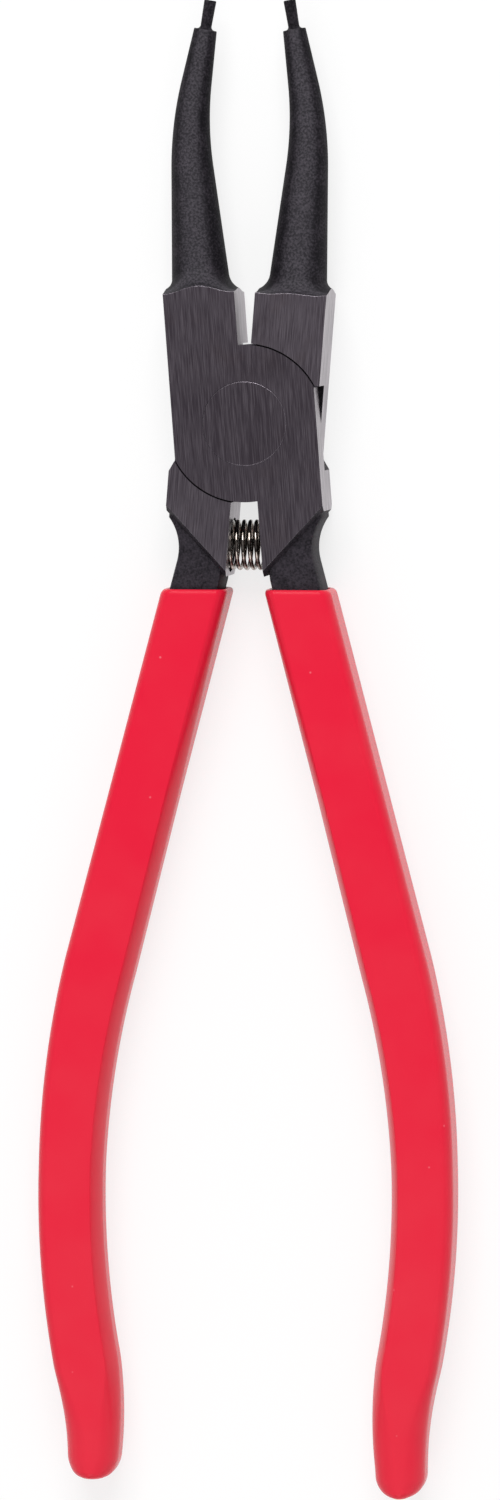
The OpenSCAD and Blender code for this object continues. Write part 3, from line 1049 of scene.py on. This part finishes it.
@dataclass
class Grip:
    """Sleeve of dipped PVC: a cavity that fits the tang, a soft rim and a rounded closed end."""

    side: Side
    tang: Tang
    # Thickness of the closed end, and how far its rounding draws in the sides
    end: float
    end_inset: float
    wall: float = 0.8
    fit: float = 0.05
    rim_y: float = 20.4
    rim_round: float = 0.7
    settle_length: float = 7.0
    crease_length: float = 25.0
    rim_edges: Edges = Edges(inner=Edge(1.3, 2.0), outer=Edge(1.3, 2.0), end=Edge(2.8, 3.6))
    edges: Edges = Edges(inner=Edge(1.2, 3.6, 1.3), outer=Edge(1.3, 2.2), end=Edge(2.8, 3.6))
    end_round: float = 2.6
    lid_round: float = 0.9
    end_bulge: float = 0.25
    # Angles at which the rounding of the end and the cap on it stop, short of a quarter turn
    tail_turn: float = pi / 2 * 0.94
    cap_turn: float = pi / 2 * 0.97
    inside_steps: int = 90
    lip_steps: int = 12
    settle_steps: int = 16
    outside_steps: int = 130
    tail_steps: int = 18
    cap_steps: int = 6
    smooth_angle: float = radians(50)

    @property
    def rim_at(self) -> float:
        """Length along the tang at which the sleeve begins."""
        return (self.rim_y - self.tang.top) / cos(self.tang.splay)

    @property
    def end_at(self) -> float:
        """Length along the tang at which the sleeve's closed end is full."""
        return self.tang.path.length + self.fit + self.end

    def slant(self, s: float) -> float:
        """Slant of the section at length s: the level rim fades to a square section down the sleeve."""
        share = eased((s - self.rim_at) / self.settle_length)
        return tan(self.tang.splay + REST_ANGLE / 2) * (1 - share)

    def hoop(self, s: float, skin: float, lid: float | None = None) -> list[Vector]:
        """Returns a ring of the sleeve at length s.

        Down from the rim, the inner edge turns from a rounding to a crease with a flank.

        Args:
            s: Length along the tang.
            skin: Distance from the tang across.
            lid: Distance from its flat faces, where that differs.
        """
        path = self.tang.path
        lid = skin if lid is None else lid
        creased = held((s - self.rim_at) / self.crease_length)
        share = (lid - self.fit) / self.wall
        edges = self.tang.edges.towards(self.rim_edges.towards(self.edges, creased), share)
        section = self.tang.section(min(s, path.length), skin, lid, edges)
        return ring(path.at(s), section, self.slant(s))

    def tail_hoop(self, turn: float) -> list[Vector]:
        """Returns a ring of the closed end, where its rounding has turned inwards by an angle."""
        skin = self.fit + self.wall
        left = self.end_round * (1 - sin(turn))
        fall = max(0.0, self.lid_round - left)
        lid = skin - self.lid_round + sqrt(self.lid_round ** 2 - fall ** 2)
        return self.hoop(self.end_at - left, skin - self.end_inset * (1 - cos(turn)), lid)

    def rings(self) -> list[list[Vector]]:
        """Returns the rings from the floor of the cavity up, over the rim and down to the closed end."""
        skin = self.fit + self.wall
        length = self.tang.path.length
        lip_end = self.rim_at + self.rim_round
        inside = [self.hoop(s, self.fit) for s in spread(length + self.fit, lip_end, self.inside_steps)]
        lip = [
            self.hoop(
                self.rim_at + self.rim_round * (1 - sin(a)),
                self.fit + self.wall / 2 - self.wall / 2 * cos(a),
            )
            for a in spread(0, pi, self.lip_steps)
        ]
        settle_end = self.rim_at + self.settle_length
        outside = spread(lip_end, settle_end, self.settle_steps)[1:]
        outside += spread(settle_end, self.end_at - self.end_round, self.outside_steps)[1:]
        tail = [self.tail_hoop(turn) for turn in spread(0, self.tail_turn, self.tail_steps)[1:]]
        last = tail[-1]
        middle = sum(last, Vector()) / len(last)
        heading = self.tang.path.at(length).heading
        ahead = Vector((sin(heading), cos(heading), 0))
        cap = [
            [middle + (p - middle) * cos(a) + ahead * (self.end_bulge * sin(a)) for p in last]
            for a in spread(0, self.cap_turn, self.cap_steps)[1:]
        ]
        return inside[:-1] + lip + [self.hoop(s, skin) for s in outside] + tail + cap

    def build(self, name: str, finish: Material) -> Object:
        """Returns the finished sleeve in the frame."""
        piece = solid(name, self.rings())
        piece.data.materials.append(finish)
        keep_drawing(piece)
        piece.data.transform(self.side.placement())
        smooth(piece, self.smooth_angle)
        return piece


@dataclass
class Spring:
    """Compression spring with closed ends, bowed between the two pockets, drawn at rest."""

    joint: Joint
    wire_radius: float = 0.25
    coil_radius: float = 2.85
    turns: float = 10.5
    gap: float = 0.04
    rings_per_turn: int = 40
    wire_sides: int = 14
    smooth_angle: float = radians(50)

    @property
    def lead(self) -> float:
        """Distance from a pocket's floor to the middle of the first wire."""
        return self.gap + self.wire_radius

    def ends(self) -> tuple[Vector, Vector]:
        """Returns the points in the frame where the spring meets the two pocket floors, rear one first."""
        lean = REST_ANGLE / 2
        floor = self.joint.seat_x + self.joint.pocket_depth
        x = floor * cos(lean) + self.joint.spring_arm * sin(lean)
        y = floor * sin(lean) - self.joint.spring_arm * cos(lean)
        return Vector((-x, y, FACE_Z)) * MM, Vector((x, y, FACE_Z)) * MM

    def tree(self, sizes: dict[str, float | int], finish: Material) -> NodeTree:
        """Returns a node tree that winds a wire along an arc.

        Args:
            sizes: The tree's inputs by name, in millimetres, radians and turns, with counts as whole numbers.
            finish: Material of the wire.
        """
        tree = bpy.data.node_groups.new("wound_spring", "GeometryNodeTree")
        for name, value in sizes.items():
            kind = "NodeSocketInt" if isinstance(value, int) else "NodeSocketFloat"
            tree.interface.new_socket(name, in_out="INPUT", socket_type=kind)
        tree.interface.new_socket("Geometry", in_out="OUTPUT", socket_type="NodeSocketGeometry")
        add = partial(add_node, tree)
        known = dict(add("NodeGroupInput").node.outputs.items(), Index=add("GeometryNodeInputIndex"))
        sums = (
            # Turns wound at each point of the wire, of which the first and the last are closed
            ("steps", "SUBTRACT", "Points", 1.0),
            ("along", "DIVIDE", "Index", "steps"),
            ("turn", "MULTIPLY", "along", "Turns"),
            ("last", "SUBTRACT", "Turns", 1.0),
            ("first turn", "MINIMUM", "turn", 1.0),
            ("past last", "SUBTRACT", "turn", "last"),
            ("last turn", "MAXIMUM", "past last", 0.0),
            ("past first", "SUBTRACT", "turn", "first turn"),
            ("middle turns", "SUBTRACT", "past first", "last turn"),
            # Way along the arc, as an angle from its middle
            ("closed turns", "ADD", "first turn", "last turn"),
            ("closed run", "MULTIPLY", "closed turns", "End Pitch"),
            ("run", "MULTIPLY_ADD", "middle turns", "Middle Pitch", "closed run"),
            ("run", "ADD", "run", self.lead),
            ("place", "DIVIDE", "run", "Arc Radius"),
            ("place", "SUBTRACT", "place", "Half Angle"),
            # Way round the coil
            ("angle", "MULTIPLY", "turn", 2 * pi),
            ("cos", "COSINE", "angle"),
            ("sin", "SINE", "angle"),
            ("reach", "MULTIPLY_ADD", "Coil Radius", "cos", "Arc Radius"),
            ("Z", "MULTIPLY", "Coil Radius", "sin"),
            ("Z", "MULTIPLY", "Z", -1.0),
            ("cos", "COSINE", "place"),
            ("sin", "SINE", "place"),
            ("X", "MULTIPLY", "reach", "sin"),
            ("Y", "MULTIPLY", "reach", "cos"),
            ("Y", "MULTIPLY", "Y", -1.0),
        )
        for name, operation, *values in sums:
            known[name] = add(MATH, tuple(known.get(v, v) for v in values), operation=operation)
        spot = add("ShaderNodeCombineXYZ", {axis: known[axis] for axis in "XYZ"})
        # Wire along those points
        line = add("GeometryNodeMeshLine", {"Count": known["Points"]})
        curve = add("GeometryNodeMeshToCurve", {"Mesh": line})
        curve = add("GeometryNodeSetPosition", {"Geometry": curve, "Position": spot})
        round_wire = add("GeometryNodeCurvePrimitiveCircle", {
            "Resolution": known["Wire Sides"], "Radius": known["Wire Radius"],
        })
        wire = add("GeometryNodeCurveToMesh", {
            "Curve": curve, "Profile Curve": round_wire, "Fill Caps": True,
        })
        wire = add("GeometryNodeSetMaterial", {"Geometry": wire, "Material": finish})
        add("NodeGroupOutput", {"Geometry": wire})
        return tree

    def build(self, name: str, finish: Material) -> Object:
        """Returns the wound spring in the frame."""
        lean = REST_ANGLE / 2
        end = self.ends()[1] / MM
        radius = end.x / sin(lean)
        end_pitch = 2 * self.wire_radius + self.gap
        middle = 2 * radius * lean - 2 * self.lead - 2 * end_pitch
        sizes = {
            "Turns": self.turns,
            "Coil Radius": self.coil_radius,
            "Wire Radius": self.wire_radius,
            "Arc Radius": radius,
            "Half Angle": lean,
            "End Pitch": end_pitch,
            "Middle Pitch": middle / (self.turns - 2),
            "Points": round(self.turns * self.rings_per_turn) + 1,
            "Wire Sides": self.wire_sides,
        }
        piece = add_object(name, bpy.data.meshes.new(name))
        step = piece.modifiers.new("winding", "NODES")
        step.node_group = self.tree(sizes, finish)
        for item in step.node_group.interface.items_tree:
            if item.in_out == "INPUT":
                step[item.identifier] = sizes[item.name]
        settle(piece)
        keep_drawing(piece)
        centre = Matrix.Translation((0, end.y + radius * cos(lean), FACE_Z))
        piece.data.transform(Matrix.Scale(MM, 4) @ centre)
        smooth(piece, self.smooth_angle)
        return piece


# Stage


@dataclass(frozen=True)
class Softbox:
    """A square lamp that faces the object, with its place and size in metres."""

    name: str
    spot: tuple[float, float, float]
    watts: float
    size: float


@dataclass
class Stage:
    """Floor, soft studio light and the camera at the photograph's viewing angle."""

    floor_half: float = 3.0
    floor_drop: float = 0.0002
    # Share of plain white in what is seen of the floor; the rest is paper, which keeps the shadow
    floor_glow: float = 0.75
    target_mm: tuple[float, float, float] = (0.144, -39.557, 4.8)
    towards_right: float = radians(7.255)
    towards_tips: float = radians(3.562)
    roll: float = radians(0.085)
    distance: float = 1.0
    focal_px: float = 8268.0
    image_height_px: float = 1500.0
    sensor_mm: float = 36.0
    lamps: tuple[Softbox, ...] = (
        Softbox("beyond_tips", (0.0, 1.0, 1.15), 18.0, 0.9),
        Softbox("behind_handles", (0.0, -1.1, 0.95), 5.5, 0.9),
    )
    room_fill: float = 0.38
    # Brightness of the room in reflections, by how far up it lies
    walls: Limits = (0.2, 0.5, 1.0, 0.06)
    ceiling: Limits = (0.75, 0.95, 0.0, 0.22)

    def build(self) -> None:
        """Sets up floor, world, lamps and camera."""
        bpy.context.scene.view_settings.view_transform = "Standard"
        self.build_floor()
        self.build_world()
        for softbox in self.lamps:
            lamp = bpy.data.lights.new(softbox.name, "AREA")
            lamp.energy = softbox.watts
            lamp.shape = "SQUARE"
            lamp.size = softbox.size
            aim = (Vector(self.target_mm) * MM - Vector(softbox.spot)).to_track_quat("-Z", "Y")
            holder = add_object(softbox.name, lamp)
            holder.matrix_world = Matrix.Translation(softbox.spot) @ aim.to_matrix().to_4x4()
        self.build_camera()

    @staticmethod
    def seen_directly(add: Adder) -> NodeSocket:
        """Returns 1 for what the camera sees, also in a mirror or through glass, and 0 for other light."""
        rays = add("ShaderNodeLightPath").node.outputs
        seen = rays["Is Camera Ray"]
        for name in ("Is Glossy Ray", "Is Transmission Ray"):
            seen = add(MATH, (seen, rays[name]), operation="MAXIMUM")
        return seen

    def build_floor(self) -> None:
        """Adds a pale floor that shows white and keeps the object's shadow."""
        half = self.floor_half
        mesh = bpy.data.meshes.new("floor")
        corners = [(-half, -half), (half, -half), (half, half), (-half, half)]
        mesh.from_pydata([(x, y, -self.floor_drop) for x, y in corners], [], [(0, 1, 2, 3)])
        floor = add_object("floor", mesh)
        material = bpy.data.materials.new("pale_paper")
        material.use_nodes = True
        material.node_tree.nodes.clear()
        add = partial(add_node, material.node_tree)
        paper = add("ShaderNodeBsdfDiffuse", {"Color": linear("#FFFFFF")})
        white = add("ShaderNodeEmission", {"Color": linear("#FFFFFF"), "Strength": 1.0})
        share = add(MATH, (self.seen_directly(add), self.floor_glow), operation="MULTIPLY")
        add("ShaderNodeOutputMaterial", {"Surface": add("ShaderNodeMixShader", (share, paper, white))})
        mesh.materials.append(material)

    def build_world(self) -> None:
        """Makes the room white at the sides and dim overhead, where the camera hangs."""
        world = bpy.data.worlds.new("studio")
        world.use_nodes = True
        bpy.context.scene.world = world
        world.node_tree.nodes.clear()
        add = partial(add_node, world.node_tree)
        up = add("ShaderNodeSeparateXYZ", (add("ShaderNodeTexCoord", out="Generated"),), "Z")
        parts = (add(RANGE, (up, *limits), **SOFTLY) for limits in (self.walls, self.ceiling))
        room = add(MATH, tuple(parts), operation="MAXIMUM")
        level = add(MIX, {
            "Factor": self.seen_directly(add), "A": self.room_fill, "B": room,
        }, "Result", data_type="FLOAT")
        light = add("ShaderNodeBackground", {"Color": linear("#FFFFFF"), "Strength": level})
        add("ShaderNodeOutputWorld", {"Surface": light})

    def build_camera(self) -> None:
        """Adds the camera, seen from above, a little from the right and from beyond the tips."""
        camera = bpy.data.cameras.new("camera")
        camera.sensor_fit = "VERTICAL"
        camera.sensor_height = self.sensor_mm
        camera.lens = self.focal_px / self.image_height_px * self.sensor_mm
        turn = (
            Matrix.Rotation(self.towards_right, 4, "Y")
            @ Matrix.Rotation(-self.towards_tips, 4, "X")
            @ Matrix.Rotation(self.roll, 4, "Z")
        )
        target = Matrix.Translation(Vector(self.target_mm) * MM)
        holder = add_object("camera", camera)
        holder.matrix_world = target @ turn @ Matrix.Translation((0, 0, self.distance))
        bpy.context.scene.camera = holder


def carry(piece: Object, body: str, node: str) -> None:
    """Sets a piece on its body, in place of its CAD node.

    Args:
        piece: The finished piece.
        body: Name of the body it moves with.
        node: Name of the CAD node it stands for.
    """
    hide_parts(node)
    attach(piece, body)
    log.info("%s: %d faces on %s", piece.name, len(piece.data.polygons), body)


def main() -> None:
    """Builds the pliers and their stage."""
    logging.basicConfig(level=logging.INFO, format="%(message)s")
    joint = Joint()
    tang = Tang(joint)
    lever_finishes = [
        BlackPhosphate().material(),
        GroundSteel("ground_steel_face").material(),
        # Painted light: the sides take a lighter copy of the ground steel, for the white surroundings that
        # they reflect, and the face a darker one, for the dim ceiling
        # The sides are seen edge on, so their lines are drawn coarser still
        GroundSteel("ground_steel_side", "#766D75", "#B6ADB4", lines=Grain(0.8, 3.0, 0.65)).material(),
        OiledLap().material(),
    ]
    # The rivet's rim gets the same painted highlight, all the way round
    rivet_finish = GroundSteel(
        "ground_rivet_steel", wear_mm=0.06, wear_from_mm=0.0, wear_to_mm=1.0,
    ).material()
    grip_finish = DippedPvc().material()

    for side, node in ((Side.FRONT, "front_lever"), (Side.REAR, "rear_lever")):
        lever = Lever(side, joint, tang).build(f"{node}_forging", lever_finishes)
        carry(lever, side.value, node)
    rivet = Rivet(joint).build("pivot_rivet_flush", rivet_finish)
    carry(rivet, Side.REAR.value, "pivot_rivet")
    grips = {
        "left_grip": Grip(Side.REAR, tang, end=1.2, end_inset=1.7),
        "right_grip": Grip(Side.FRONT, tang, end=2.9, end_inset=2.2),
    }
    for node, grip in grips.items():
        carry(grip.build(f"{node}_sleeve", grip_finish), grip.side.value, node)

    winding = Spring(joint)
    spring = winding.build("return_spring_coil", SpringWire().material())
    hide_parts("return_spring")
    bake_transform(spring)
    log.info("%s: %d faces between both halves", spring.name, len(spring.data.polygons))

    Stage().build()


if __name__ == "__main__":
    main()
